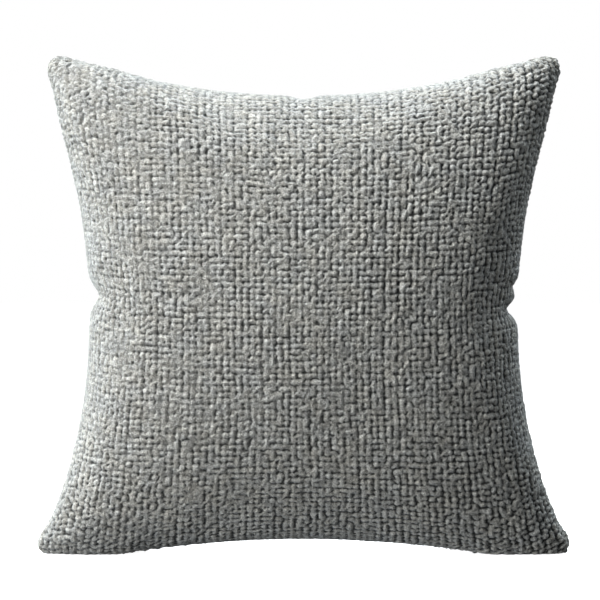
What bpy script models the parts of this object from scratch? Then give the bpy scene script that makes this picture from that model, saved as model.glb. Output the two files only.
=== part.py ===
"""Square throw pillow: a woven cover with a zip, round an insert filled with fibre.

The pillow stands on its two bottom corners, which its weight presses flat. +X is to
the right, +Z is up and the front face looks along -Y. The origin is on the floor,
under the middle of the pillow. All lengths are in metres.
"""

import math
from collections import namedtuple

import bmesh
import bpy
from mathutils import Vector

# Outline of the seam, which lies in the plane y = 0
HALF_WIDTH_MIDDLE = 0.183
HALF_WIDTH_BOTTOM = 0.2305
HALF_WIDTH_TOP = 0.2235
SIDE_POWER_BOTTOM = 2.4  # how sharply the sides turn out towards the corners
SIDE_POWER_TOP = 1.65
TOP_MIDDLE = 0.391
TOP_CORNER = 0.431
TOP_POWER = 2.05
BOTTOM_MIDDLE = 0.0115
BOTTOM_ARCH_END = 0.83  # the share of the half width where the arch meets the floor
FOOT_DEPTH = 0.0025  # how far each bottom corner is pressed flat by the floor
CORNER_POWER = 14
CORNER_PULL_X = 0.018
CORNER_PULL_Z = 0.036

# Thickness of the pillow and of its layers
HALF_DEPTH = 0.083
CROWN_POWER = 0.75  # below 1, the faces stay plump until close to the seam
COVER_THICKNESS = 0.003
LINING_THICKNESS = 0.001
SEAM_GAP = 0.0003
GRID = 16  # faces along each side of a panel

# Zip, along the bottom edge, with its chain in the plane y = 0
ZIP_SHELF = 0.016  # the inside of the folded hem, which the tapes lie on
ZIP_HALF_LENGTH = 0.150
SLOT_HALF_WIDTH = 0.0055
TAPE_OUTER = 0.009
TAPE_INNER = 0.0035
TAPE_THICKNESS = 0.0007
GAP = 0.0003
CHAIN_Z = ZIP_SHELF + GAP + TAPE_THICKNESS / 2
CHAIN_THICKNESS = 0.0025
CHAIN_START = -0.128
CHAIN_END = 0.1345
TOOTH_PITCH = 0.005
TOOTH_WIDTH = 0.0019
TOOTH_ROOT = 0.0010
TOOTH_REACH = 0.0007
CHAIN_EDGE = 0.0032
STOP_LENGTH = 0.0025
STOP_HEIGHT = 0.0032
SEWING_Y = 0.0070
SEWING_RADIUS = 0.00025

# Slider, at the closed end of the chain
SLIDER_X = -0.128
SLIDER_LENGTH = 0.011
SLIDER_HALF_WIDTH = 0.0046
SLIDER_PLATE = 0.0012
FLANGE_WIDTH = 0.0009
POST_LENGTH = 0.0028
POST_WIDTH = 0.0016
PIVOT_DROP = 0.0043  # from the chain's middle down to the pull's pin
PIN_RADIUS = 0.0005
LUG_HALF_WIDTH = 0.0022
LUG_THICKNESS = 0.0008
LUG_RADIUS = 0.0013

# Pull tab
PULL_LENGTH = 0.018
PULL_WIDTH = 0.0045
PULL_THICKNESS = 0.0011
KNUCKLE_WIDTH = 0.0022
KNUCKLE_RADIUS = 0.0012
EYE_RADIUS = 0.0008

# A layer of the pillow: how far its rim lies inside the seam line, the height of its
# bottom edge (None follows the arch of the pillow) and half of its thickness.
Layer = namedtuple("Layer", "inset bottom depth")
COVER_OUTER = Layer(0.0, None, HALF_DEPTH)
COVER_INNER = Layer(COVER_THICKNESS, ZIP_SHELF, HALF_DEPTH - COVER_THICKNESS)
COVER_THREAD = Layer(0.0040, ZIP_SHELF + 0.0015, 0.0)
INSERT_OUTER = Layer(0.0050, 0.0215, COVER_INNER.depth - 0.0006)
INSERT_INNER = Layer(0.0062, 0.0227, INSERT_OUTER.depth - LINING_THICKNESS)
INSERT_THREAD = Layer(0.0070, 0.0235, 0.0)
FILL_OUTER = Layer(0.0080, 0.0245, INSERT_INNER.depth - 0.0006)


def clear_scene():
    for item in list(bpy.data.objects):
        bpy.data.objects.remove(item, do_unlink=True)


def new_collection(name):
    collection = bpy.data.collections.new(name)
    bpy.context.scene.collection.children.link(collection)
    return collection


def new_material(name, colour, roughness, metallic=0.0):
    material = bpy.data.materials.new(name)
    material.use_nodes = True
    shader = material.node_tree.nodes["Principled BSDF"]
    shader.inputs["Base Color"].default_value = (*colour, 1.0)
    shader.inputs["Roughness"].default_value = roughness
    shader.inputs["Metallic"].default_value = metallic
    return material


def new_object(name, data, collection, material=None):
    item = bpy.data.objects.new(name, data)
    collection.objects.link(item)
    if material:
        item.data.materials.append(material)
    return item


def mesh_from(name, bm):
    bmesh.ops.recalc_face_normals(bm, faces=bm.faces)
    if bm.calc_volume(signed=True) < 0:
        bmesh.ops.reverse_faces(bm, faces=bm.faces)
    mesh = bpy.data.meshes.new(name)
    bm.to_mesh(mesh)
    bm.free()
    return mesh


# The form of the pillow -----------------------------------------------------------


def half_width(z):
    """From the middle to the seam at a height: least half way up, where it pulls in."""
    share = 2 * (z + FOOT_DEPTH) / (TOP_CORNER + FOOT_DEPTH) - 1
    if share > 0:
        flare = (HALF_WIDTH_TOP - HALF_WIDTH_MIDDLE) * share**SIDE_POWER_TOP
    else:
        flare = (HALF_WIDTH_BOTTOM - HALF_WIDTH_MIDDLE) * (-share) ** SIDE_POWER_BOTTOM
    return HALF_WIDTH_MIDDLE + flare


def top_edge(u):
    return TOP_MIDDLE + (TOP_CORNER - TOP_MIDDLE) * abs(u) ** TOP_POWER


def bottom_edge(u):
    arch = max(0.0, 1 - (u / BOTTOM_ARCH_END) ** 2) ** 1.5
    return -FOOT_DEPTH + (BOTTOM_MIDDLE + FOOT_DEPTH) * arch


def outline_point(layer, u, v):
    """Place (u, v), each from -1 to 1, in the plane of the seam, with round tips."""
    low = bottom_edge(u) if layer.bottom is None else layer.bottom
    high = top_edge(u) - layer.inset
    middle = (TOP_MIDDLE + BOTTOM_MIDDLE) / 2
    tip = abs(u * v) ** CORNER_POWER
    z = low + (high - low) * (1 + v) / 2
    x = u * (half_width(z) - layer.inset) * (1 - CORNER_PULL_X * tip)
    return x, middle + (z - middle) * (1 - CORNER_PULL_Z * tip)


def crown_point(layer, side, s, t, rim=SEAM_GAP / 2):
    """A point of the crowned face on one side, from angles s and t of -1 to 1."""
    u = math.sin(s * math.pi / 2)
    v = math.sin(t * math.pi / 2)
    x, z = outline_point(layer, u, v)
    crown = max(0.0, math.cos(s * math.pi / 2) * math.cos(t * math.pi / 2))
    return Vector((x, side * (rim + layer.depth * crown**CROWN_POWER), z))


def add_crown(bm, layer, side, rim=SEAM_GAP / 2):
    """One crowned face. Each corner is creased from its tip, so that it isn't flat."""
    verts = bmesh.ops.create_grid(bm, x_segments=GRID, y_segments=GRID, size=1)["verts"]
    for tip in [v for v in verts if len(v.link_faces) == 1]:
        beside = {e.other_vert(tip) for e in tip.link_edges}
        opposite = set(tip.link_faces[0].verts) - beside - {tip}
        bmesh.ops.connect_verts(bm, verts=[tip, *opposite])
    for vert in verts:
        vert.co = crown_point(layer, side, vert.co.x, vert.co.y, rim)
    return verts


def shell_panel(name, outer, inner, side, collection, material):
    """One half of a cover: a crowned shell that ends in a flat rim at the seam."""
    bm = bmesh.new()
    outside = add_crown(bm, outer, side)
    inside = dict(zip(outside, add_crown(bm, inner, side)))
    for edge in [e for e in bm.edges if e.is_boundary and e.verts[0] in inside]:
        a, b = edge.verts
        bm.faces.new((a, b, inside[b], inside[a]))
    bmesh.ops.triangulate(bm, faces=bm.faces, quad_method="FIXED")
    return new_object(name, mesh_from(name, bm), collection, material)


def filling(name, layer, collection, material):
    bm = bmesh.new()
    add_crown(bm, layer, -1, rim=0)
    add_crown(bm, layer, 1, rim=0)
    bmesh.ops.remove_doubles(bm, verts=bm.verts, dist=0.00001)
    bmesh.ops.triangulate(bm, faces=bm.faces, quad_method="FIXED")
    return new_object(name, mesh_from(name, bm), collection, material)


# Simple solids --------------------------------------------------------------------


def box(name, low, high, collection, material=None):
    bm = bmesh.new()
    bmesh.ops.create_cube(bm, size=1)
    low, high = Vector(low), Vector(high)
    for vert in bm.verts:
        share = vert.co + Vector((0.5, 0.5, 0.5))
        vert.co = low + share * (high - low)
    return new_object(name, mesh_from(name, bm), collection, material)


def cross_cylinder(name, centre, radius, length, collection, material=None):
    """A cylinder along Y."""
    bm = bmesh.new()
    bmesh.ops.create_cone(
        bm, cap_ends=True, segments=20, radius1=radius, radius2=radius, depth=length
    )
    for vert in bm.verts:
        vert.co = Vector(centre) + Vector((vert.co.x, vert.co.z, vert.co.y))
    return new_object(name, mesh_from(name, bm), collection, material)


def bevel(item, width, segments=2):
    modifier = item.modifiers.new("bevel", "BEVEL")
    modifier.width = width
    modifier.segments = segments
    modifier.limit_method = "ANGLE"


def combine(item, other, operation, solver="EXACT"):
    """Cut other out of item, or join it on. Other is only a guide afterwards."""
    modifier = item.modifiers.new(other.name, "BOOLEAN")
    modifier.operation = operation
    modifier.solver = solver
    modifier.object = other
    other.hide_render = True
    other.display_type = "WIRE"


def thread(name, points, radius, cyclic, collection, material):
    curve = bpy.data.curves.new(name, "CURVE")
    curve.dimensions = "3D"
    curve.bevel_depth = radius
    curve.bevel_resolution = 1
    curve.use_fill_caps = not cyclic
    spline = curve.splines.new("POLY")
    spline.points.add(len(points) - 1)
    for point, place in zip(spline.points, points):
        point.co = (*place, 1)
    spline.use_cyclic_u = cyclic
    return new_object(name, curve, collection, material)


# Pieces ---------------------------------------------------------------------------


def seam_loop(layer):
    """The stations of the seam line, round from the bottom edge's middle."""
    stations = [-1 + 2 * i / GRID for i in range(GRID)]
    rounds = [(-s, -1) for s in stations]
    rounds += [(-1, t) for t in stations]
    rounds += [(s, 1) for s in stations]
    rounds += [(1, -t) for t in stations]
    loop = [crown_point(layer, 1, s, t, rim=0) for s, t in rounds]
    middle = GRID // 2
    return loop[middle:] + loop[:middle]


def make_cover(parts, cutters, fabric, cotton):
    floor = box("floor_cutter", (-0.3, -0.2, -0.05), (0.3, 0.2, 0.0), cutters)
    reach = ZIP_HALF_LENGTH + GAP
    slot = box(
        "zip_slot_cutter",
        (-reach, -SLOT_HALF_WIDTH, -0.01),
        (reach, SLOT_HALF_WIDTH, ZIP_SHELF + 0.004),
        cutters,
    )
    pocket = box(
        "tape_pocket_cutter",
        (-reach, -TAPE_OUTER - GAP, ZIP_SHELF),
        (reach, TAPE_OUTER + GAP, ZIP_SHELF + 0.005),
        cutters,
    )
    for name, side in (("cover_front_panel", -1), ("cover_back_panel", 1)):
        panel = shell_panel(name, COVER_OUTER, COVER_INNER, side, parts, fabric)
        for cutter in (floor, slot, pocket):
            # EXACT turns these thin shells inside out
            combine(panel, cutter, "DIFFERENCE", solver="MANIFOLD")
    loop = seam_loop(COVER_THREAD)
    sewn = [p for p in loop if abs(p.x) > ZIP_HALF_LENGTH or p.z > 0.1]
    thread("cover_seam_thread", sewn, 0.0004, False, parts, cotton)


def make_insert(parts, lining, cotton, fibre):
    for name, side in (("insert_front_panel", -1), ("insert_back_panel", 1)):
        shell_panel(name, INSERT_OUTER, INSERT_INNER, side, parts, lining)
    loop = seam_loop(INSERT_THREAD)
    thread("insert_seam_thread", loop, 0.0003, True, parts, cotton)
    filling("fibre_fill", FILL_OUTER, parts, fibre)


def tooth_row(name, side, first, parts, material):
    """A comb whose teeth reach past the middle, between those of the other row."""
    curve = bpy.data.curves.new(name, "CURVE")
    curve.dimensions = "2D"
    curve.fill_mode = "BOTH"
    curve.extrude = CHAIN_THICKNESS / 2
    root, tip = side * TOOTH_ROOT, -side * TOOTH_REACH
    points = [(CHAIN_START, side * CHAIN_EDGE), (CHAIN_START, root)]
    x = CHAIN_START + first
    while x + TOOTH_WIDTH < CHAIN_END:
        points += [(x, root), (x, tip), (x + TOOTH_WIDTH, tip), (x + TOOTH_WIDTH, root)]
        x += TOOTH_PITCH
    points += [(CHAIN_END, root), (CHAIN_END, side * CHAIN_EDGE)]
    spline = curve.splines.new("POLY")
    spline.points.add(len(points) - 1)
    for point, (x, y) in zip(spline.points, points):
        point.co = (x, y, 0, 1)
    spline.use_cyclic_u = True
    row = new_object(name, curve, parts, material)
    row.location.z = CHAIN_Z


def make_zip(parts, webbing, resin, metal, cotton):
    tape_low, tape_high = ZIP_SHELF + GAP, ZIP_SHELF + GAP + TAPE_THICKNESS
    sides = (("front", -1, 0.0012), ("back", 1, 0.0012 + TOOTH_PITCH / 2))
    for name, side, first in sides:
        y = sorted((side * TAPE_INNER, side * TAPE_OUTER))
        low = (-ZIP_HALF_LENGTH, y[0], tape_low)
        high = (ZIP_HALF_LENGTH, y[1], tape_high)
        box(f"zip_tape_{name}", low, high, parts, webbing)
        tooth_row(f"zip_teeth_{name}", side, first, parts, resin)
        y = sorted((side * 0.0012, side * CHAIN_EDGE))
        nose = SLIDER_X - SLIDER_LENGTH / 2 - GAP
        low = (nose - STOP_LENGTH, y[0], CHAIN_Z - STOP_HEIGHT / 2)
        high = (nose, y[1], CHAIN_Z + STOP_HEIGHT / 2)
        stop = box(f"zip_top_stop_{name}", low, high, parts, metal)
        bevel(stop, 0.0003)
        run = ZIP_HALF_LENGTH - 0.002
        z = tape_high + GAP + SEWING_RADIUS
        ends = [Vector((x, side * SEWING_Y, z)) for x in (-run, run)]
        thread(f"zip_sewing_{name}", ends, SEWING_RADIUS, False, parts, cotton)
    low = (CHAIN_END + GAP, -CHAIN_EDGE, CHAIN_Z - STOP_HEIGHT / 2)
    high = (low[0] + 2 * STOP_LENGTH, CHAIN_EDGE, CHAIN_Z + STOP_HEIGHT / 2)
    bevel(box("zip_bottom_stop", low, high, parts, metal), 0.0004)


def make_slider(parts, cutters, metal):
    """Two plates that hold the chain between them, joined by a post at the nose."""
    left, right = SLIDER_X - SLIDER_LENGTH / 2, SLIDER_X + SLIDER_LENGTH / 2
    half = CHAIN_THICKNESS / 2 + GAP
    wide = SLIDER_HALF_WIDTH
    low_plate, high_plate = CHAIN_Z - half, CHAIN_Z + half
    slider = box(
        "zip_slider",
        (left, -wide, low_plate - SLIDER_PLATE),
        (right, wide, low_plate),
        parts,
        metal,
    )
    bevel(slider, 0.0004)
    upper = box(
        "slider_upper_plate",
        (left, -wide, high_plate),
        (right, wide, high_plate + SLIDER_PLATE),
        cutters,
    )
    bevel(upper, 0.0004)
    post = box(
        "slider_post",
        (left + 0.0006, -POST_WIDTH / 2, low_plate - 0.0003),
        (left + 0.0006 + POST_LENGTH, POST_WIDTH / 2, high_plate + 0.0003),
        cutters,
    )
    pieces = [upper, post]
    tape_half = TAPE_THICKNESS / 2 + GAP
    for side in (-1, 1):
        y = sorted((side * wide, side * (wide - FLANGE_WIDTH)))
        for name, bottom, top in (
            ("lower", low_plate - 0.0005, CHAIN_Z - tape_half),
            ("upper", CHAIN_Z + tape_half, high_plate + 0.0005),
        ):
            flange = box(
                f"slider_{name}_flange_{side}",
                (left + 0.0008, y[0], bottom),
                (right - 0.0008, y[1], top),
                cutters,
            )
            pieces.append(flange)
        centre = (SLIDER_X, side * (LUG_HALF_WIDTH - LUG_THICKNESS / 2), pivot_z())
        lug = cross_cylinder(
            f"slider_lug_{side}", centre, LUG_RADIUS, LUG_THICKNESS, cutters
        )
        y = sorted((side * LUG_HALF_WIDTH, side * (LUG_HALF_WIDTH - LUG_THICKNESS)))
        web = box(
            f"slider_lug_web_{side}",
            (SLIDER_X - LUG_RADIUS, y[0], pivot_z()),
            (SLIDER_X + LUG_RADIUS, y[1], low_plate - SLIDER_PLATE / 2),
            cutters,
        )
        pieces += [lug, web]
    pin = cross_cylinder(
        "slider_pin",
        (SLIDER_X, 0, pivot_z()),
        PIN_RADIUS,
        2 * LUG_HALF_WIDTH - LUG_THICKNESS,
        cutters,
    )
    for piece in [*pieces, pin]:
        combine(slider, piece, "UNION")


def pivot_z():
    return CHAIN_Z - PIVOT_DROP


def make_pull(parts, cutters, metal):
    """A flat tab that hangs on the slider's pin and lies along the chain."""
    hinge = bpy.data.objects.new("pull_hinge_axis", None)
    parts.objects.link(hinge)
    hinge.location = (SLIDER_X, 0, pivot_z())
    pull = box(
        "zip_pull",
        (0.0024, -PULL_WIDTH / 2, -PULL_THICKNESS / 2),
        (PULL_LENGTH, PULL_WIDTH / 2, PULL_THICKNESS / 2),
        parts,
        metal,
    )
    bevel(pull, 0.0004)
    neck = box(
        "pull_neck",
        (0.0, -KNUCKLE_WIDTH / 2, -PULL_THICKNESS / 2),
        (0.0034, KNUCKLE_WIDTH / 2, PULL_THICKNESS / 2),
        cutters,
    )
    knuckle = cross_cylinder(
        "pull_knuckle", (0, 0, 0), KNUCKLE_RADIUS, KNUCKLE_WIDTH, cutters
    )
    eye = cross_cylinder("pull_eye", (0, 0, 0), EYE_RADIUS, 0.01, cutters)
    window = box(
        "pull_window",
        (PULL_LENGTH * 0.55, -PULL_WIDTH / 5, -0.002),
        (PULL_LENGTH * 0.85, PULL_WIDTH / 5, 0.002),
        cutters,
    )
    for piece, operation in (
        (neck, "UNION"),
        (knuckle, "UNION"),
        (eye, "DIFFERENCE"),
        (window, "DIFFERENCE"),
    ):
        piece.parent = hinge
        combine(pull, piece, operation)
    pull.parent = hinge


def main():
    clear_scene()
    parts = new_collection("throw_pillow")
    cutters = new_collection("cutters")
    fabric = new_material("woven_cover", (0.36, 0.36, 0.34), 0.95)
    lining = new_material("insert_lining", (0.80, 0.80, 0.78), 0.9)
    fibre = new_material("polyester_fibre", (0.90, 0.90, 0.89), 1.0)
    cotton = new_material("sewing_thread", (0.30, 0.30, 0.29), 0.85)
    webbing = new_material("zip_tape", (0.28, 0.28, 0.27), 0.9)
    resin = new_material("zip_teeth", (0.24, 0.24, 0.24), 0.45)
    metal = new_material("zip_metal", (0.62, 0.62, 0.60), 0.35, metallic=1.0)
    make_cover(parts, cutters, fabric, cotton)
    make_insert(parts, lining, cotton, fibre)
    make_zip(parts, webbing, resin, metal, cotton)
    make_slider(parts, cutters, metal)
    make_pull(parts, cutters, metal)


main()
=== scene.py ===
"""The looks of a square throw pillow in chunky grey boucle cloth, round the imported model.

The form of the cover is one crowned surface for each side. A short cloth simulation
puts a little of the tension of a stuffed cover into it. Every loop of the cloth is then
raised from it as geometry, and the insert, the fill and the zip's coil fit inside.
Lengths are in metres, x is to the right, y is to the back and z is up.
"""

import math

import bpy
import numpy as np
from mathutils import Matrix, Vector


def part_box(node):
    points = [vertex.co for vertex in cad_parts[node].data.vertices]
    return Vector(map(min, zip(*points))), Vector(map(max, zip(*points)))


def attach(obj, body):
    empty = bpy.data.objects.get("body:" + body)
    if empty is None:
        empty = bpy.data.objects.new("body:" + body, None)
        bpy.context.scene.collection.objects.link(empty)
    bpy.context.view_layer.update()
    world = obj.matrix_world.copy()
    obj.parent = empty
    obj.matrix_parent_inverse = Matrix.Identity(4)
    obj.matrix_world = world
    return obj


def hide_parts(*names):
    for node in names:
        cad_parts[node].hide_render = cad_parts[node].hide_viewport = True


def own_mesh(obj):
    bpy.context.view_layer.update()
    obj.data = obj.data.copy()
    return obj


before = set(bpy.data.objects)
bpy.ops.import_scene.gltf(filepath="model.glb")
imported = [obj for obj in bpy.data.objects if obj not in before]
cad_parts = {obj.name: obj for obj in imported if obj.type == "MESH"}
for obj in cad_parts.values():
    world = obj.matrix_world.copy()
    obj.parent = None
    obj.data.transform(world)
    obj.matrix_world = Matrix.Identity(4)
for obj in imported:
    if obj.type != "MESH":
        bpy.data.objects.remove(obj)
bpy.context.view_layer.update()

BODY = "pillow"

# The pillow's size, from the frame
LOW, HIGH = (Vector(corner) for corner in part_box("cover_front_panel"))
HALF_DEPTH = -LOW.y
HEIGHT = HIGH.z
STAND_PROUD = 1.008  # half width of the woven seam, as a share of the frame's
HALF_WIDTH = HIGH.x * STAND_PROUD

# Outline of the seam. Shares are of HALF_WIDTH or HEIGHT
MIDDLE_SHARE = 0.8065  # half width half way up
BOTTOM_SHARE = 1.0131  # half widths at the corners, before their tips are rounded
TOP_SHARE = 0.9844
SIDE_POWER_BOTTOM = 2.375
SIDE_POWER_TOP = 1.67
TOP_MIDDLE_SHARE = 0.927  # heights of the top edge, in the middle and at the corners
TOP_CORNER_SHARE = 1.0187
TOP_POWER = 2.143
TOP_FLAT_SHARE = 0.0123  # how far the top edge stops short of the corners
TOP_FLAT_POWER = 24
ARCH_RISE = 0.0115  # height of the bottom edge between the two feet
ARCH_END = 0.83  # where the arch meets the feet, as a share of the half width
FOOT_DEPTH = 0.0025  # how far the feet would reach below the floor, which flattens them
CORNER_ROUND = 0.086  # radius of the corners as a share of the half sizes
LOBE = 0.0028  # how far the bottom corners bulge, at a height, over a width
LOBE_HEIGHT = 0.0111
LOBE_WIDTH = 0.0116
CROWN_POWER = 0.75  # the smaller, the fuller the faces are near the seam
SPACING_PASSES = 3  # passes that space the points evenly along the surface
SPARE = 4  # points for each cell while they are being spaced

# Where the seam's thread is tight: side (-1 left, 1 right), height, depth, half height
SIDE_PINCHES = (
    (-1, 0.2210, 0.0085, 0.0110),
    (1, 0.2085, 0.0095, 0.0080),
    (1, 0.2275, 0.0048, 0.0065),
)
TOP_PINCH_DEPTH = 0.0032
TOP_PINCH_WIDTH = 0.010
PINCH_REACH = 0.030  # how far a crease runs in from the seam
SIDE_PINCH_ROUND = 0.055  # how far it runs round to the front and the back
TOP_PINCH_ROUND = 0.03
PINCH_GATHER = 0.25  # how much cloth a pinch gathers from above and below

# The simulation of the stuffed cover
SIM_FRAMES = 18
SIM_BLUR = 9  # passes that smooth the moves
SIM_CAP = 0.0018  # the farthest that a point moves
SIM_CORNER = 0.25  # how wide a zone at the corners the moves fade out in, as a share

# The cloth
BASE = 96  # cells across each side's base form
FINE = 640  # cells across each side of the finished cover
INNER = 80  # cells across the inside of the cover and the insert
CUT = 0.45  # side of the square that each panel was cut to
COLUMNS = 80  # loops across and up a panel
ROWS = 92
CURLS = 9000  # small curls of yarn on each panel
LOOP_HEIGHT = 0.0016
LOOP_WIDE = 0.51  # half sizes of a loop, as shares of a loop's pitch
LOOP_TALL = 0.52
LEAST_LOOP = 0.36
LONG_SHARE = 0.11  # share of the loops that lie up the column over the next one
LYING_SHARE = 0.06  # share of the loops that lie across the column
LOOP_POWER = 2.2  # how square a loop is from above: 2 is an oval
DOME_POWER = 0.6
MEAN_HEIGHT = 0.35  # share of a loop that lies below the base form
CURL_HEIGHT = 0.15  # the yarn's own unevenness, as shares of a loop's height
FUZZ_HEIGHT = 0.12
TIGHTNESS = 0.5  # how much flatter the loops are along the seams, where they are pulled
TIGHT_WIDTH = 0.022
CAVITY_BLUR = 14  # passes of smoothing that tell a gap from the cloth round it, for the shade painted into the gaps
SEAM_GROOVE = 0.0035  # width and depth of the groove along the seam
SEAM_SINK = 0.0011
BOTTOM_SHADE_PAINT = 0.5  # painted shade: how much darker the cloth's colour is made along the bottom seam, in place of the shade that falls there
BOTTOM_SHADE_PAINT_WIDTH = 0.007
CLOTH_THICKNESS = 0.003
SEAM_GAP = 0.0003  # between the front and the back panel

# Inside the cover: depths below its base form, and heights of their lowest points
LINING_DEPTH = 0.0050
LINING_SHELF = 0.0215
FILL_DEPTH = 0.0080
FILL_SHELF = 0.0245
STITCH_PITCH = 0.0042
# Each seam's depth, lowest point, half width and thread radius
SEAMS = {
    "cover_seam": (0.0041, 0.0175, 0.0009, 0.00028),
    "insert_seam": (0.0072, 0.0235, 0.0007, 0.00020),
}

# The zip's slot in the bottom edge
SLOT_HALF_WIDTH = 0.0055
SLOT_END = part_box("zip_tape_front")[1][0] + 0.001
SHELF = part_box("zip_tape_front")[0][2] - 0.0003
COIL_WIRE = 0.00034  # radius of the coil's wire
COIL_PITCH = 0.00135
COIL_POWER = 0.62  # how square the coil is from its end: 1 is an oval


# The base form -------------------------------------------------------------------------


def bell(distance, width):
    return np.exp(-((distance / width) ** 2))


def half_width(z):
    """Half the pillow's width at a height: least in the middle, flaring to the corners."""
    span = TOP_CORNER_SHARE * HEIGHT + FOOT_DEPTH
    share = 2 * (z + FOOT_DEPTH) / span - 1
    above = (TOP_SHARE - MIDDLE_SHARE) * np.maximum(share, 0) ** SIDE_POWER_TOP
    below = (BOTTOM_SHARE - MIDDLE_SHARE) * np.maximum(-share, 0) ** SIDE_POWER_BOTTOM
    lobe = LOBE * bell(z - LOBE_HEIGHT, LOBE_WIDTH)
    return HALF_WIDTH * (MIDDLE_SHARE + above + below) + lobe


def rounded(u, v):
    """Moves shares u and v of a square so that its corners are quarters of a circle."""
    start = 1 - CORNER_ROUND
    a = np.clip((np.abs(u) - start) / CORNER_ROUND, 0, 1)
    b = np.clip((np.abs(v) - start) / CORNER_ROUND, 0, 1)
    near_u = np.minimum(np.abs(u), start) + CORNER_ROUND * a * np.sqrt(1 - b * b / 2)
    near_v = np.minimum(np.abs(v), start) + CORNER_ROUND * b * np.sqrt(1 - a * a / 2)
    return np.sign(u) * near_u, np.sign(v) * near_v


def outline(u, v):
    """x and z on the seam's plane for shares u and v of the width and height, -1 to 1."""
    u, v = rounded(u, v)
    arch = np.maximum(0, 1 - (u / ARCH_END) ** 2) ** 1.5
    low = (ARCH_RISE + FOOT_DEPTH) * arch - FOOT_DEPTH
    top_middle, top_corner = TOP_MIDDLE_SHARE * HEIGHT, TOP_CORNER_SHARE * HEIGHT
    high = top_middle + (top_corner - top_middle) * np.abs(u) ** TOP_POWER
    high = high - TOP_FLAT_SHARE * HEIGHT * np.abs(u) ** TOP_FLAT_POWER
    z = low + (high - low) * (1 + v) / 2
    return u * half_width(z), z


def pinched(points):
    """Draws the seam in where its thread is tight, with a crease leading away from it."""
    x, y, z = points[..., 0], points[..., 1], points[..., 2]
    edge = HALF_WIDTH * MIDDLE_SHARE
    for side, height, depth, width in SIDE_PINCHES:
        inward = np.clip(edge - side * x, 0, None)
        fade = bell(inward, PINCH_REACH) * bell(y, SIDE_PINCH_ROUND)
        pull = fade * bell(z - height, width * (1 + inward / PINCH_REACH))
        x = x - side * depth * pull
        z = z - (z - height) * PINCH_GATHER * pull
    down = np.clip(TOP_MIDDLE_SHARE * HEIGHT - z, 0, None)
    pull = bell(down, PINCH_REACH) * bell(x, TOP_PINCH_WIDTH) * bell(y, TOP_PINCH_ROUND)
    z = z - TOP_PINCH_DEPTH * pull
    return np.stack([x, y, z], axis=-1)


def spaced_rows(points, count):
    """The same surface with count cells along each row, evenly spaced along it."""
    step = np.linalg.norm(np.diff(points, axis=1), axis=2)
    along = np.concatenate([np.zeros((len(points), 1)), np.cumsum(step, axis=1)], axis=1)
    out = np.empty((len(points), count + 1, 3))
    for row, (at, old) in enumerate(zip(along, points)):
        want = np.linspace(0, at[-1], count + 1)
        for k in range(3):
            out[row, :, k] = np.interp(want, at, old[:, k])
    return out


def crowned():
    """The front of the pillow as a grid of points, rows up and columns across, whose
    cells are squares of cloth: the spacing is even along the surface both ways."""
    angle = np.linspace(-math.pi / 2, math.pi / 2, SPARE * BASE + 1)
    s, t = np.meshgrid(angle, angle)
    x, z = outline(np.sin(s), np.sin(t))
    crown = np.clip(np.cos(s) * np.cos(t), 0, 1) ** CROWN_POWER
    points = np.stack([x, -HALF_DEPTH * crown, z], axis=-1)
    for _ in range(SPACING_PASSES):
        points = spaced_rows(points, SPARE * BASE)
        points = spaced_rows(points.swapaxes(0, 1), SPARE * BASE).swapaxes(0, 1)
    return points[::SPARE, ::SPARE]


def mirrored(points):
    return points * np.array([1, -1, 1])


# Cloth simulation ----------------------------------------------------------------------


def grid_faces(rows, columns, first=0, flip=False):
    """Quads of a grid of points, counted row by row."""
    start = first + np.arange(rows)[:, None] * (columns + 1) + np.arange(columns)
    quads = np.stack(
        [start, start + 1, start + columns + 2, start + columns + 1], axis=-1
    ).reshape(-1, 4)
    return quads[:, ::-1] if flip else quads


def border(count):
    """Indices of a grid's border, once round, for a square grid of count cells."""
    side = count + 1
    index = np.arange(side * side).reshape(side, side)
    return np.concatenate(
        [index[0, :-1], index[:-1, -1], index[-1, :0:-1], index[:0:-1, 0]]
    )


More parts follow.
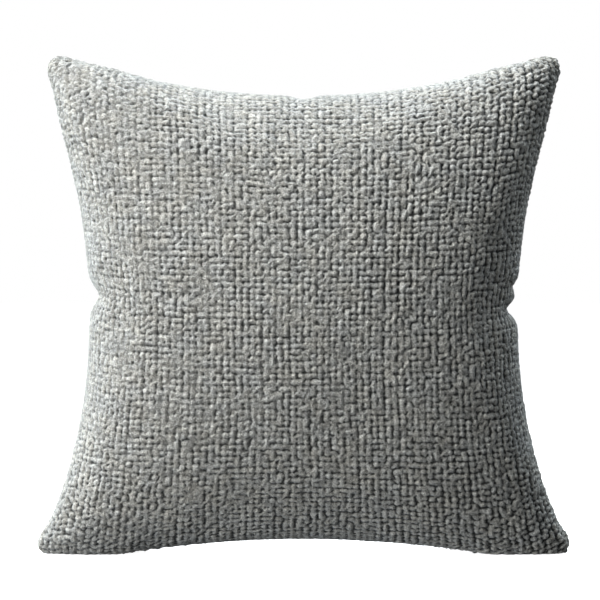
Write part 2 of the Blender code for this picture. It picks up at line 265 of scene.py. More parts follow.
def stuffed(front, back):
    """Both sides after a short simulation of the stuffed cover, sewn at the seam."""
    side = BASE + 1
    flat = np.concatenate([front.reshape(-1, 3), back.reshape(-1, 3)])
    rim = border(BASE)
    index = np.arange(2 * side * side)
    index[side * side + rim] = rim
    quads = np.concatenate(
        [
            grid_faces(BASE, BASE),
            index[grid_faces(BASE, BASE, first=side * side, flip=True)],
        ]
    )
    mesh = bpy.data.meshes.new("stuffed")
    mesh.from_pydata(flat.tolist(), [], quads.tolist())
    item = bpy.data.objects.new("stuffed", mesh)
    bpy.context.scene.collection.objects.link(item)
    pins = item.vertex_groups.new(name="seam")
    pins.add(rim.tolist(), 1.0, "REPLACE")
    cloth = item.modifiers.new("cloth", "CLOTH")
    settings = cloth.settings
    settings.vertex_group_mass = "seam"
    settings.quality = 4
    settings.mass = 0.4
    settings.tension_stiffness = 18
    settings.compression_stiffness = 18
    settings.shear_stiffness = 6
    settings.bending_stiffness = 1.2
    settings.use_pressure = True
    settings.uniform_pressure_force = 2.5
    settings.shrink_min = -0.025
    settings.effector_weights.gravity = 0
    scene = bpy.context.scene
    for number in range(1, SIM_FRAMES + 1):
        scene.frame_set(number)
    graph = bpy.context.evaluated_depsgraph_get()
    shown = item.evaluated_get(graph).to_mesh()
    moved = np.empty(len(shown.vertices) * 3, np.float32)
    shown.vertices.foreach_get("co", moved)
    item.evaluated_get(graph).to_mesh_clear()
    scene.frame_set(1)
    bpy.data.objects.remove(item, do_unlink=True)
    shift = (moved.reshape(-1, 3) - flat).reshape(2, side, side, 3)
    share = np.linspace(-1, 1, side)
    free = np.clip((1 - np.abs(share * share[:, None])) / SIM_CORNER, 0, 1)[..., None]
    settled = []
    for flat_side, moves in zip((front, back), shift):
        moves = blurred(moves, SIM_BLUR)
        long = np.maximum(np.linalg.norm(moves, axis=2, keepdims=True), 1e-9)
        moves = moves * SIM_CAP * np.tanh(long / SIM_CAP) / long * free
        moves[0] = moves[-1] = moves[:, 0] = moves[:, -1] = 0
        settled.append(flat_side + moves)
    return settled


# Resampling ----------------------------------------------------------------------------


def smooth_weights(old, new):
    """A matrix that reads a smooth curve through old + 1 points at new + 1 places."""
    weights = np.zeros((new + 1, old + 1))
    for row, at in enumerate(np.linspace(0, old, new + 1)):
        cell = min(int(at), old - 1)
        f = at - cell
        parts = (
            -0.5 * f + f**2 - 0.5 * f**3,
            1 - 2.5 * f**2 + 1.5 * f**3,
            0.5 * f + 2 * f**2 - 1.5 * f**3,
            -0.5 * f**2 + 0.5 * f**3,
        )
        for k, part in enumerate(parts):
            index = cell - 1 + k
            if index < 0:  # beyond the border, the curve goes straight on
                weights[row, 0] += 2 * part
                weights[row, 1] -= part
            elif index > old:
                weights[row, old] += 2 * part
                weights[row, old - 1] -= part
            else:
                weights[row, index] += part
    return weights


def resampled(points, new):
    weights = smooth_weights(len(points) - 1, new)
    return np.einsum("ai,bj,ijk->abk", weights, weights, points, optimize=True)


def surface_normals(points, side):
    """Unit normals of a grid, facing out of the pillow: side is -1 in front, 1 behind."""
    across = np.gradient(points, axis=1)
    up = np.gradient(points, axis=0)
    normal = np.cross(up, across) * side
    return normal / np.maximum(np.linalg.norm(normal, axis=2, keepdims=True), 1e-12)


def blurred(field, passes):
    """A soft average of each point with its neighbours, taken a number of times."""
    for _ in range(passes):
        for axis in (0, 1):
            pad = [(1, 1) if axis == k else (0, 0) for k in range(field.ndim)]
            wide = np.pad(field, pad, mode="edge")
            low = np.take(wide, range(0, field.shape[axis]), axis)
            high = np.take(wide, range(2, field.shape[axis] + 2), axis)
            field = 0.5 * field + 0.25 * (low + high)
    return field


def drift(rng, shape, cells):
    """Slow random variation over a grid, about -1 to 1, with cells waves across."""
    knots = rng.standard_normal((cells + 1, cells + 1))
    rows = smooth_weights(cells, shape[0] - 1)
    columns = smooth_weights(cells, shape[1] - 1)
    return rows @ knots @ columns.T


# The boucle cloth ----------------------------------------------------------------------


def column_places(rng):
    """Middle of each column of loops at every row, in columns. The columns lie in pairs,
    and each wanders a little on its way up the panel."""
    number = np.arange(COLUMNS)
    paired = np.where(number % 2 == 0, 0.03, -0.03) * (1 + rng.normal(0, 0.6, COLUMNS))
    slow = drift(rng, (ROWS + 1, COLUMNS), 10) * 0.10
    sway = np.cumsum(rng.normal(0, 0.02, (ROWS + 1, COLUMNS)), axis=0)
    return number + 0.5 + paired + slow + 0.5 * (sway - np.mean(sway, axis=0))


def loops(rng, middles):
    """Every loop of a panel: place, half sizes, turn, height, tone. Lengths are in pitches
    of the loops. Most loops are round, some are long and lie up the column, and a few lie
    across it. In the corners, where the cloth is slack, they stagger and turn."""
    rise = drift(rng, (ROWS + 1, COLUMNS + 1), 14) * 0.22
    bulk = drift(rng, (ROWS + 1, COLUMNS + 1), 22)
    messy = np.clip(drift(rng, (ROWS + 1, COLUMNS + 1), 14), 0, 2)
    made = []
    for i in range(COLUMNS):
        skip = 0
        for j in range(ROWS):
            if skip:
                skip -= 1
                continue
            u, v = 2 * (i + 0.5) / COLUMNS - 1, 2 * (j + 0.5) / ROWS - 1
            slack = looseness(u, v)
            loose = 0.35 * messy[j, i]
            x = middles[j, i] + rng.normal(0, 0.09 + 0.06 * loose)
            y = j + 0.5 + rise[j, i] + 0.5 * (i % 2) * slack + rng.normal(0, 0.10)
            wide = rng.normal(LOOP_WIDE, 0.045) - 0.02 * slack
            tall = rng.normal(LOOP_TALL, 0.06) - 0.02 * slack
            kind = rng.random()
            if kind < LONG_SHARE * (1 - slack):
                y, tall, skip = y + 0.5, 1.05, 1
            elif kind > 1 - LYING_SHARE:
                x, wide = x + 0.4, 0.90
            height = 0.84 + 0.10 * bulk[j, i] + rng.normal(0, 0.15) + 0.12 * slack
            made.append(
                (
                    x,
                    y,
                    max(LEAST_LOOP, wide),
                    max(LEAST_LOOP, tall),
                    rng.normal(0, 0.14 + 0.25 * loose + 0.35 * slack),
                    min(1.25, max(0.35, height)),
                    rng.normal(0, 1),
                )
            )
    for _ in range(CURLS):  # small curls of yarn between the loops and on them
        made.append(
            (
                rng.uniform(0, COLUMNS),
                rng.uniform(0, ROWS),
                rng.uniform(0.16, 0.26),
                rng.uniform(0.24, 0.46),
                rng.uniform(0, math.pi),
                rng.uniform(0.45, 1.05),
                rng.normal(0, 1),
            )
        )
    return made


def looseness(u, v):
    """How slack the cloth is at shares u and v of a panel: 0 in the middle, 1 in corners."""
    return np.clip((np.abs(u * v) - 0.25) / 0.40, 0, 1)


def boucle(rng):
    """Height of the loops over the fine grid, 0 in the gaps to about 1, and their tone."""
    side = FINE + 1
    height = np.zeros((side, side))
    tone = np.zeros((side, side))
    per_x, per_y = FINE / COLUMNS, FINE / ROWS
    middles = column_places(rng)
    for x, y, wide, tall, turn, top, shade in loops(rng, middles):
        reach = 1.05 * max(wide, tall)
        c0, c1 = max(0, int((x - reach) * per_x)), min(side, int((x + reach) * per_x) + 2)
        r0, r1 = max(0, int((y - reach) * per_y)), min(side, int((y + reach) * per_y) + 2)
        if c0 >= c1 or r0 >= r1:
            continue
        dx = np.arange(c0, c1) / per_x - x
        dy = np.arange(r0, r1)[:, None] / per_y - y
        across = (dx * math.cos(turn) + dy * math.sin(turn)) / wide
        along = (dy * math.cos(turn) - dx * math.sin(turn)) / tall
        round_off = np.abs(across) ** LOOP_POWER + np.abs(along) ** LOOP_POWER
        dome = top * np.clip(1 - round_off, 0, 1) ** DOME_POWER
        window = height[r0:r1, c0:c1]
        over = dome > window
        tone[r0:r1, c0:c1] = np.where(over, shade, tone[r0:r1, c0:c1])
        height[r0:r1, c0:c1] = np.maximum(window, dome)
    height -= gaps(rng, middles)
    curls = blurred(rng.standard_normal(height.shape), 3)
    curls = 0.8 - np.abs(curls) / np.std(curls)
    fuzz = blurred(rng.standard_normal(height.shape), 1)
    height = blurred(height, 1) + CURL_HEIGHT * curls + FUZZ_HEIGHT * fuzz
    return height, tone


def gaps(rng, middles):
    """Depth of the gaps between columns: every second one is deeper, as the columns lie
    in pairs, and each comes and goes on its way up."""
    side = FINE + 1
    depth = np.zeros((side, side))
    columns = np.arange(side) / FINE * COLUMNS
    rows = np.linspace(0, ROWS, side)
    fade = 1 + 0.6 * drift(rng, depth.shape, 16)
    for k in range(COLUMNS - 1):
        between = (middles[:, k] + middles[:, k + 1]) / 2
        place = np.interp(rows, np.arange(ROWS + 1), between)
        strength = rng.uniform(0.0, 0.18) if k % 2 else rng.uniform(0.0, 0.10)
        c0, c1 = max(0, int((k + 0.4) * FINE / COLUMNS)), int((k + 1.6) * FINE / COLUMNS) + 1
        depth[:, c0:c1] += strength * bell(columns[c0:c1] - place[:, None], 0.12)
    for k in range(1, ROWS):
        r0, r1 = int((k - 0.6) * FINE / ROWS), int((k + 0.6) * FINE / ROWS) + 1
        strength = rng.uniform(0.0, 0.24)
        depth[r0:r1] += strength * bell(rows[r0:r1, None] - k, 0.15)
    return depth * np.clip(fade, 0, 2)


def seam_distance():
    """How many cells of the fine grid each point is from the border."""
    along = np.minimum(np.arange(FINE + 1), FINE - np.arange(FINE + 1))
    return np.minimum(along[:, None], along)


def kept_out_of_slot(points, side):
    """Moves the cloth of the bottom edge off the zip, which lies between the two lips."""
    x, y, z = points[..., 0], side * points[..., 1], points[..., 2]
    ends = np.clip((SLOT_END - np.abs(x)) / 0.004, 0, 1)
    least = SEAM_GAP / 2 + (SLOT_HALF_WIDTH + 0.0002) * ends * (z < SHELF + 0.004)
    return np.stack([x, side * np.maximum(y, least), z], axis=-1)


def cover_panel(name, base, side, rng, material):
    """One side of the cover: the loops outside, the turned seam and the plain inside."""
    fine = resampled(base, FINE)
    normal = surface_normals(fine, side)
    height, tone = boucle(rng)
    share = np.linspace(-1, 1, FINE + 1)
    slack = looseness(share, share[:, None])
    from_seam = seam_distance() * CUT / FINE
    below = np.clip(-share[:, None] - 0.3, 0, 1)
    relief = 1 - TIGHTNESS * (1 - slack) * bell(from_seam, TIGHT_WIDTH)
    relief *= 1 + 0.12 * share + 0.35 * below
    rise = LOOP_HEIGHT * relief * (1 + 0.2 * slack) * (height - MEAN_HEIGHT)
    groove = np.clip(from_seam / SEAM_GROOVE, 0, 1)
    rise = rise * groove - SEAM_SINK * (1 - groove) ** 2
    outer = fine + normal * rise[..., None]
    outer = kept_out_of_slot(outer, side)
    outer[..., 2] = np.maximum(outer[..., 2], 0.0002 * (1 - height))

    inner = inside(base, side, CLOTH_THICKNESS, SHELF)
    fine_rim, inner_rim = border(FINE), border(INNER)
    points = np.concatenate([outer.reshape(-1, 3), inner.reshape(-1, 3)])
    first = len(outer.reshape(-1, 3))
    quads = np.concatenate(
        [
            grid_faces(FINE, FINE, flip=side > 0),
            grid_faces(INNER, INNER, first=first, flip=side < 0),
        ]
    )
    strip = seam_strip(fine_rim, first + inner_rim, FINE // INNER)
    if side > 0:
        strip = strip[:, ::-1]
    item = new_mesh(name, points, quads, strip)
    # Painted shade: the gaps between the loops are darkened in the colour as their shade, more
    # towards the bottom and the right, where the light grazes the loops, and a little less in
    # the slack corners
    gap_shade_strength = 1.25 - 0.1 * slack + 0.22 * share + 0.7 * below
    depth = relief * gap_shade_strength * (height - blurred(height, CAVITY_BLUR))
    cavity_shade = np.clip(0.5 + 0.04 * slack + depth, 0, 1)
    patch = drift(rng, height.shape, 9)
    streak = np.repeat(rng.standard_normal(COLUMNS), FINE // COLUMNS)
    streak = np.interp(np.linspace(0, 1, FINE + 1), np.linspace(0, 1, len(streak)), streak)
    # Painted shade: a band along the bottom seam is darkened in the colour, in place of the
    # shade that falls there
    bottom_shade_paint = BOTTOM_SHADE_PAINT * bell(np.arange(FINE + 1) * CUT / FINE, BOTTOM_SHADE_PAINT_WIDTH)[:, None]
    shade = 0.5 + 0.19 * tone + 0.06 * patch + 0.04 * streak - bottom_shade_paint
    inside_value = np.full(len(inner.reshape(-1, 3)), 0.5)
    for attribute, values in (("cavity_shade", cavity_shade), ("shade", shade)):
        layer = item.data.attributes.new(attribute, "FLOAT", "POINT")
        layer.data.foreach_set(
            "value", np.concatenate([values.ravel(), inside_value]).astype(np.float32)
        )
    item.data.materials.append(material)
    return item


def inside(base, side, depth, shelf, more=0.0):
    """A smooth surface inside the pillow, a depth below its cloth and above a shelf."""
    points = resampled(base, INNER)
    deep = depth + np.zeros((INNER + 1, INNER + 1)) + more
    points = points - surface_normals(points, side) * deep[..., None]
    x, y, z = points[..., 0], side * points[..., 1], np.maximum(points[..., 2], shelf)
    reach = half_width(z) - depth
    x = np.clip(x, -reach, reach)
    rim = np.zeros((INNER + 1, INNER + 1), bool)
    rim[0], rim[-1], rim[:, 0], rim[:, -1] = True, True, True, True
    y = np.where(rim, SEAM_GAP / 2, np.maximum(y, SEAM_GAP / 2))
    points = np.stack([x, side * y, z], axis=-1)
    if depth <= CLOTH_THICKNESS:
        points = kept_out_of_slot(points, side)
    return points


def lining_panel(name, base, side, shelf, rng, material):
    """One side of the insert's thin lining, with soft wrinkles from the loose filling."""
    wrinkles = 0.0005 + 0.0004 * blurred(drift(rng, (INNER + 1, INNER + 1), 26), 1)
    wrinkles = np.clip(wrinkles, 0, 0.0012)
    outer = inside(base, side, LINING_DEPTH, shelf, wrinkles)
    inner = inside(base, side, LINING_DEPTH + 0.0014, shelf + 0.0012, wrinkles)
    rim = border(INNER)
    first = len(outer.reshape(-1, 3))
    quads = np.concatenate(
        [
            grid_faces(INNER, INNER, flip=side > 0),
            grid_faces(INNER, INNER, first=first, flip=side < 0),
        ]
    )
    strip = np.stack([np.roll(rim, -1), rim, first + rim, first + np.roll(rim, -1)], axis=1)
    if side > 0:
        strip = strip[:, ::-1]
    points = np.concatenate([outer.reshape(-1, 3), inner.reshape(-1, 3)])
    item = new_mesh(name, points, quads, strip)
    item.data.materials.append(material)
    return item


def fill_lump(name, front, back, shelf, rng, material):
    """The loose fibre inside the insert: both sides at once, dented all over."""
    halves = []
    for base, side in ((front, -1), (back, 1)):
        lumps = drift(rng, (INNER + 1, INNER + 1), 16) + drift(rng, (INNER + 1, INNER + 1), 34)
        dents = np.clip(0.0016 + 0.0010 * lumps, 0.0002, 0.006)
        halves.append(inside(base, side, FILL_DEPTH, shelf, dents))
    rim = border(INNER)
    first = len(halves[0].reshape(-1, 3))
    quads = np.concatenate(
        [
            grid_faces(INNER, INNER),
            grid_faces(INNER, INNER, first=first, flip=True),
        ]
    )
    strip = np.stack([np.roll(rim, -1), rim, first + rim, first + np.roll(rim, -1)], axis=1)
    points = np.concatenate([half.reshape(-1, 3) for half in halves])
    item = new_mesh(name, points, quads, strip)
    item.data.materials.append(material)
    return item


def seam_stitches(name, base, depth, shelf, width, radius, material):
    """An overlocked seam: one thread that crosses from side to side all round the rim."""
    ring = inside(base, -1, depth, shelf).reshape(-1, 3)[border(INNER)]
    ring[:, 1] = 0
    steps = np.linalg.norm(np.roll(ring, -1, axis=0) - ring, axis=1)
    along = np.concatenate([[0], np.cumsum(steps)])
    closed = np.concatenate([ring, ring[:1]])
    count = 4 * int(along[-1] / STITCH_PITCH)
    want = np.linspace(0, along[-1], count, endpoint=False)
    path = np.stack([np.interp(want, along, closed[:, k]) for k in range(3)], axis=1)
    path[:, 1] = width * np.sin(np.arange(count) * math.pi / 2)
    item = tube(name, path, radius, closed=True)
    item.data.materials.append(material)
    return item


def tube(name, path, radius, closed=False, sides=6):
    """A round thread or wire along a path of points."""
    ahead = np.roll(path, -1, axis=0) - np.roll(path, 1, axis=0)
    if not closed:
        ahead[0] = path[1] - path[0]
        ahead[-1] = path[-1] - path[-2]
    ahead /= np.maximum(np.linalg.norm(ahead, axis=1, keepdims=True), 1e-12)
    lead = np.array([0.0, 1.0, 0.31])
    first = np.cross(ahead, lead)
    first /= np.maximum(np.linalg.norm(first, axis=1, keepdims=True), 1e-12)
    second = np.cross(ahead, first)
    turn = np.linspace(0, 2 * math.pi, sides, endpoint=False)[None, :, None]
    rings = path[:, None] + radius * (
        np.cos(turn) * first[:, None] + np.sin(turn) * second[:, None]
    )
    count = len(path)
    spans = count if closed else count - 1
    faces = []
    for k in range(spans):
        here, there = k * sides, (k + 1) % count * sides
        for m in range(sides):
            n = (m + 1) % sides
            faces.append((here + m, here + n, there + n, there + m))
    if closed:
        return new_mesh(name, rings.reshape(-1, 3), faces)
    ends = [tuple(range(sides))[::-1], tuple(range((count - 1) * sides, count * sides))]
    return new_mesh(name, rings.reshape(-1, 3), faces, ends)


def zip_coil(name, node, material):
    """A row of the zip's coil, wound round inside the row's place in the frame."""
    low, high = (np.array(corner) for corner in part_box(node))
    turns = int((high[0] - low[0] - 2 * COIL_WIRE) / COIL_PITCH)
    angle = np.linspace(0, 2 * math.pi * turns, 12 * turns + 1)
    middle, half = (low + high) / 2, (high - low) / 2 - COIL_WIRE
    across = np.sign(np.cos(angle)) * np.abs(np.cos(angle)) ** COIL_POWER
    up = np.sign(np.sin(angle)) * np.abs(np.sin(angle)) ** COIL_POWER
    path = np.stack(
        [
            np.linspace(low[0] + COIL_WIRE, high[0] - COIL_WIRE, len(angle)),
            middle[1] + half[1] * across,
            middle[2] + half[2] * up,
        ],
        axis=1,
    )
    item = tube(name, path, COIL_WIRE, sides=5)
    item.data.materials.append(material)
    return item


def seam_strip(outer_rim, inner_rim, ratio):
    """Triangles between a fine ring and a coarse ring with one point for each ratio."""
    count = len(outer_rim)
    faces = []
    for k in range(len(inner_rim)):
        here, after = inner_rim[k], inner_rim[(k + 1) % len(inner_rim)]
        for m in range(ratio):
            a = outer_rim[(k * ratio + m) % count]
            b = outer_rim[(k * ratio + m + 1) % count]
            faces.append((b, a, here if m < ratio // 2 else after))
        middle = outer_rim[(k * ratio + ratio // 2) % count]
        faces.append((middle, here, after))
    return np.array(faces)


def new_mesh(name, points, *face_lists):
    mesh = bpy.data.meshes.new(name)
    faces = [face for faces in face_lists for face in np.asarray(faces).tolist()]
    mesh.from_pydata(np.asarray(points, np.float32), [], faces)
    mesh.polygons.foreach_set("use_smooth", np.ones(len(mesh.polygons), bool))
    mesh.update()
    item = bpy.data.objects.new(name, mesh)
    bpy.context.scene.collection.objects.link(item)
    return item


# Materials -----------------------------------------------------------------------------


class Nodes:
    """A material's node tree, made by short calls."""

    def __init__(self, name):
        self.material = bpy.data.materials.new(name)
        self.material.use_nodes = True
        self.tree = self.material.node_tree
        self.shader = self.tree.nodes["Principled BSDF"]

    def add(self, kind, **values):
        node = self.tree.nodes.new(kind)
        for key, value in values.items():
            if hasattr(node, key):
                setattr(node, key, value)
            else:
                node.inputs[key.replace("_", " ")].default_value = value
        return node

    def link(self, output, target):
        self.tree.links.new(output, target)

    def plain(self, **values):
        for key, value in values.items():
            self.shader.inputs[key.replace("_", " ")].default_value = value

    def ramp(self, source, stops):
        node = self.add("ShaderNodeValToRGB")
        while len(node.color_ramp.elements) < len(stops):
            node.color_ramp.elements.new(0.5)
        for element, (place, colour) in zip(node.color_ramp.elements, stops):
            element.position = place
            element.color = (*colour, 1)
        self.link(source, node.inputs["Fac"])
        return node.outputs["Color"]

    def mix(self, blend, factor, a, b):
        node = self.add("ShaderNodeMix", data_type="RGBA", blend_type=blend)
        node.inputs[0].default_value = factor
        self.link(a, node.inputs[6])
        self.link(b, node.inputs[7])
        return node.outputs[2]

    def noise(self, scale, detail=2.0, roughness=0.5, vector=None):
        node = self.add("ShaderNodeTexNoise", Scale=scale, Detail=detail, Roughness=roughness)
        if vector is not None:
            self.link(vector, node.inputs["Vector"])
        return node.outputs["Fac"]

    def bump(self, height, strength, distance, below=None):
        node = self.add("ShaderNodeBump", Strength=strength, Distance=distance)
        self.link(height, node.inputs["Height"])
        if below is not None:
            self.link(below, node.inputs["Normal"])
        return node.outputs["Normal"]


def boucle_material():
    n = Nodes("woven_cover")
    n.plain(Roughness=0.95, Specular_IOR_Level=0.12)
    n.plain(Sheen_Weight=0.45, Sheen_Roughness=0.40, Sheen_Tint=(0.86, 0.94, 1.0, 1))
    cavity_shade = n.add("ShaderNodeAttribute", attribute_name="cavity_shade").outputs["Fac"]
    shade = n.add("ShaderNodeAttribute", attribute_name="shade").outputs["Fac"]
    place = n.add("ShaderNodeTexCoord").outputs["Object"]
    # Painted shade: the cavity shade darkens the colour in the gaps between the loops
    depth = n.ramp(
        cavity_shade,
        (
            (0.05, (0.10, 0.10, 0.098)),
            (0.26, (0.42, 0.42, 0.41)),
            (0.52, (0.62, 0.62, 0.602)),
            (0.95, (0.80, 0.80, 0.785)),
        ),
    )
    yarn = n.ramp(shade, ((0.0, (0.50, 0.50, 0.49)), (1.0, (1.0, 1.0, 0.985))))
    colour = n.mix("MULTIPLY", 1.0, depth, yarn)
    strand = n.noise(760.0, detail=2.5, roughness=0.6, vector=place)
    strands = n.ramp(strand, ((0.30, (0.36, 0.36, 0.355)), (0.66, (1.0, 1.0, 1.0))))
    colour = n.mix("MULTIPLY", 0.95, colour, strands)
    fibre = n.noise(1600.0, detail=3.0, roughness=0.65, vector=place)
    fibres = n.ramp(fibre, ((0.32, (0.58, 0.58, 0.575)), (0.64, (1.0, 1.0, 1.0))))
    colour = n.mix("MULTIPLY", 0.8, colour, fibres)
    patch = n.noise(48.0, detail=5.0, roughness=0.8, vector=place)
    tint = n.ramp(patch, ((0.40, (1.0, 0.985, 0.945)), (0.60, (0.975, 0.99, 1.0))))
    colour = n.mix("MULTIPLY", 1.0, colour, tint)
    n.link(colour, n.shader.inputs["Base Color"])
    normal = n.bump(strand, 1.0, 0.0016)
    normal = n.bump(fibre, 0.5, 0.0003, below=normal)
    n.link(normal, n.shader.inputs["Normal"])
    return n.material


def cloth_material(name, light, dark, thread_scale, roughness=0.9, sheen=0.15):
    """Fine plain weave from two crossed waves."""
    n = Nodes(name)
    n.plain(Roughness=roughness, Sheen_Weight=sheen, Specular_IOR_Level=0.2)
    place = n.add("ShaderNodeTexCoord").outputs["Object"]
    waves = []
    for direction in ("X", "Z"):
        wave = n.add(
            "ShaderNodeTexWave",
            bands_direction=direction,
            Scale=thread_scale,
            Distortion=1.2,
            Detail=1.0,
        )
        n.link(place, wave.inputs["Vector"])
        waves.append(wave.outputs["Color"])
    crossed = n.mix("MULTIPLY", 1.0, *waves)
    tint = n.noise(40.0, detail=3.0, vector=place)
    weave = n.mix("MIX", 0.35, crossed, tint)
    n.link(n.ramp(weave, ((0.05, dark), (0.6, light))), n.shader.inputs["Base Color"])
    n.link(n.bump(crossed, 0.4, 0.0002), n.shader.inputs["Normal"])
    return n.material


def fibre_material():
    n = Nodes("polyester_fibre")
    n.plain(Roughness=1.0, Sheen_Weight=0.4, Specular_IOR_Level=0.1)
    place = n.add("ShaderNodeTexCoord").outputs["Object"]
    curls = n.noise(160.0, detail=6.0, roughness=0.75, vector=place)
    tint = n.ramp(curls, ((0.3, (0.72, 0.72, 0.71)), (0.7, (0.93, 0.93, 0.92))))
    n.link(tint, n.shader.inputs["Base Color"])
    n.link(n.bump(curls, 0.9, 0.002), n.shader.inputs["Normal"])
    return n.material


def metal_material():
    n = Nodes("zip_metal")
    n.plain(Metallic=1.0)
    place = n.add("ShaderNodeTexCoord").outputs["Object"]
    wear = n.noise(700.0, detail=4.0, roughness=0.6, vector=place)
    tint = n.ramp(wear, ((0.35, (0.42, 0.42, 0.41)), (0.65, (0.62, 0.62, 0.60))))
    gloss = n.ramp(wear, ((0.3, (0.42, 0.42, 0.42)), (0.7, (0.28, 0.28, 0.28))))
    n.link(tint, n.shader.inputs["Base Color"])
    n.link(gloss, n.shader.inputs["Roughness"])
    n.link(n.bump(wear, 0.15, 0.0001), n.shader.inputs["Normal"])
    return n.material


def nylon_material():
    n = Nodes("zip_teeth")
    n.plain(Roughness=0.42, Specular_IOR_Level=0.4)
    place = n.add("ShaderNodeTexCoord").outputs["Object"]
    grain = n.noise(1500.0, detail=2.0, vector=place)
    tint = n.ramp(grain, ((0.3, (0.16, 0.16, 0.16)), (0.7, (0.24, 0.24, 0.235))))
    n.link(tint, n.shader.inputs["Base Color"])
    n.link(n.bump(grain, 0.2, 0.0001), n.shader.inputs["Normal"])
    return n.material


def thread_material():
    """Twisted polyester thread."""
    n = Nodes("sewing_thread")
    n.plain(Roughness=0.6, Sheen_Weight=0.2, Specular_IOR_Level=0.3)
    place = n.add("ShaderNodeTexCoord").outputs["Object"]
    ply = n.add("ShaderNodeTexWave", bands_direction="DIAGONAL", Scale=900.0, Distortion=0.6)
    n.link(place, ply.inputs["Vector"])
    tint = n.ramp(ply.outputs["Color"], ((0.2, (0.30, 0.30, 0.295)), (0.8, (0.52, 0.52, 0.51))))
    n.link(tint, n.shader.inputs["Base Color"])
    n.link(n.bump(ply.outputs["Color"], 0.5, 0.0002), n.shader.inputs["Normal"])
    return n.material


# Stage ---------------------------------------------------------------------------------

CAMERA_DISTANCE = 2.2
FRAME_WIDTH = 0.5135  # what the camera sees across the plane of the seam
VIEW_CENTRE = Vector((-0.003, 0, 0.2165))
CAMERA_RISE = 0.02
SENSOR_WIDTH = 36  # of the camera, in millimetres
LIGHT_DISTANCE = 2.0


def aimed(item, place, target):
    item.location = place
    item.rotation_euler = (Vector(target) - Vector(place)).to_track_quat("-Z", "Y").to_euler()


def make_camera():
    data = bpy.data.cameras.new("camera")
    item = bpy.data.objects.new("camera", data)
    bpy.context.scene.collection.objects.link(item)
    data.sensor_width = SENSOR_WIDTH
    data.lens = SENSOR_WIDTH * CAMERA_DISTANCE / FRAME_WIDTH
    place = VIEW_CENTRE + Vector((0, -CAMERA_DISTANCE, CAMERA_RISE))
    aimed(item, place, VIEW_CENTRE)
    bpy.context.scene.camera = item


def area_light(name, azimuth, elevation, size, power, colour):
    """A round soft light aimed at the pillow. Azimuth 0 is in front of it, and a negative
    azimuth is to its left."""
    data = bpy.data.lights.new(name, "AREA")
    data.shape = "DISK"
    data.size = size
    data.energy = power
    data.color = colour
    item = bpy.data.objects.new(name, data)
    bpy.context.scene.collection.objects.link(item)
    turn, tilt = math.radians(azimuth), math.radians(elevation)
    away = Vector(
        (math.sin(turn) * math.cos(tilt), -math.cos(turn) * math.cos(tilt), math.sin(tilt))
    )
    middle = Vector((0, 0, HEIGHT / 2))
    aimed(item, middle + LIGHT_DISTANCE * away, middle)


def make_lights():
    area_light("key", -70, 55, 0.9, 70, (0.99, 1.0, 1.01))
    area_light("side", -50, 0, 0.9, 32, (0.99, 1.0, 1.01))
    area_light("front", -50, 30, 0.8, 10, (1.0, 0.97, 0.88))
    area_light("left_rim", -112, 16, 1.2, 39, (0.86, 0.95, 1.0))
    area_light("top_rim", 135, 66, 1.2, 42, (0.90, 0.97, 1.0))
    area_light("right_rim", 102, 50, 1.2, 18, (0.91, 0.96, 1.0))
    area_light("low_right", 55, -35, 1.2, 2.8, (0.99, 0.99, 1.0))
    area_light("back", 165, 25, 1.2, 6, (0.95, 0.98, 1.0))


def make_world():
    """White to the camera, and a dim light for the object, with less of it from below."""
    world = bpy.data.worlds.new("studio")
    bpy.context.scene.world = world
    world.use_nodes = True
    tree = world.node_tree
    back = tree.nodes["Background"]
    back.inputs["Strength"].default_value = 0.137
    direction = tree.nodes.new("ShaderNodeTexCoord").outputs["Generated"]
    height = tree.nodes.new("ShaderNodeSeparateXYZ")
    tree.links.new(direction, height.inputs[0])
    sky = tree.nodes.new("ShaderNodeValToRGB")
    sky.color_ramp.elements[0].color = (0.61, 0.63, 0.635, 1)
    sky.color_ramp.elements[1].color = (0.90, 0.97, 1.0, 1)
    sky.color_ramp.elements[1].position = 0.2
    tree.links.new(height.outputs["Z"], sky.inputs["Fac"])
    tree.links.new(sky.outputs["Color"], back.inputs["Color"])
    white = tree.nodes.new("ShaderNodeBackground")
    white.inputs["Color"].default_value = (1, 1, 1, 1)
    white.inputs["Strength"].default_value = 1.0
    path = tree.nodes.new("ShaderNodeLightPath")
    mix = tree.nodes.new("ShaderNodeMixShader")
    tree.links.new(path.outputs["Is Camera Ray"], mix.inputs[0])
    tree.links.new(back.outputs[0], mix.inputs[1])
    tree.links.new(white.outputs[0], mix.inputs[2])
    tree.links.new(mix.outputs[0], tree.nodes["World Output"].inputs["Surface"])


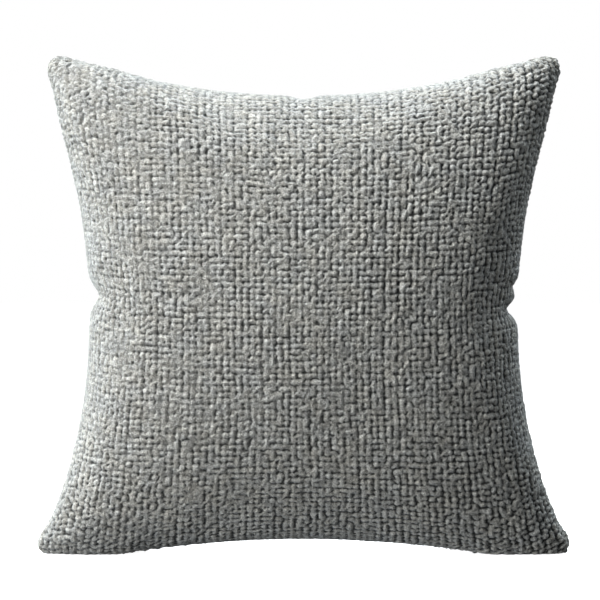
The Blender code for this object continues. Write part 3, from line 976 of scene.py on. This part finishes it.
def make_floor():
    """A plain white floor, which glows so that the pillow's shadow hardly shows on it."""
    bpy.ops.mesh.primitive_plane_add(size=40, location=(0, 0, -0.0004))
    floor = bpy.context.object
    floor.name = "floor"
    floor.visible_diffuse = False
    floor.visible_glossy = False
    floor.visible_shadow = False
    material = bpy.data.materials.new("floor")
    material.use_nodes = True
    shader = material.node_tree.nodes["Principled BSDF"]
    shader.inputs["Base Color"].default_value = (0.8, 0.8, 0.8, 1)
    shader.inputs["Roughness"].default_value = 1.0
    shader.inputs["Specular IOR Level"].default_value = 0.0
    shader.inputs["Emission Color"].default_value = (1, 1, 1, 1)
    shader.inputs["Emission Strength"].default_value = 0.97
    floor.data.materials.append(material)


# Making the pillow ---------------------------------------------------------------------


def main():
    make_camera()
    make_lights()
    make_world()
    make_floor()
    scene = bpy.context.scene
    scene.view_settings.view_transform = "Standard"

    front = crowned()
    back = mirrored(front)
    front, back = stuffed(front, back)
    front, back = pinched(front), pinched(back)

    boucle_cloth = boucle_material()
    lining = cloth_material("insert_lining", (0.86, 0.86, 0.85), (0.62, 0.62, 0.61), 520)
    tape = cloth_material("zip_tape", (0.28, 0.28, 0.275), (0.12, 0.12, 0.12), 640)
    thread = thread_material()
    nylon = nylon_material()
    metal = metal_material()

    rng = np.random.default_rng(5)
    for part, base, side, seed in (("front", front, -1, 11), ("back", back, 1, 23)):
        cloth_rng = np.random.default_rng(seed)
        item = cover_panel("cover_" + part, base, side, cloth_rng, boucle_cloth)
        use(item, "cover_" + part + "_panel")
        item = lining_panel("insert_" + part, base, side, LINING_SHELF, rng, lining)
        use(item, "insert_" + part + "_panel")
        item = zip_coil("zip_coil_" + part, "zip_teeth_" + part, nylon)
        use(item, "zip_teeth_" + part)
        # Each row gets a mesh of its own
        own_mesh(item)
    item = fill_lump("fibre", front, back, FILL_SHELF, rng, fibre_material())
    use(item, "fibre_fill")
    for name, sizes in SEAMS.items():
        item = seam_stitches(name + "_stitches", front, *sizes, thread)
        use(item, name + "_thread")

    dressed = {
        "zip_tape": tape,
        "zip_sewing": thread,
        "zip_top_stop": metal,
        "zip_bottom_stop": metal,
        "zip_slider": metal,
        "zip_pull": metal,
    }
    for name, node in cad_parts.items():
        for start, material in dressed.items():
            if name.startswith(start):
                node.material_slots[0].material = material


def use(item, node):
    """Puts a new piece in the place of a node of the frame."""
    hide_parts(node)
    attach(item, BODY)


main()
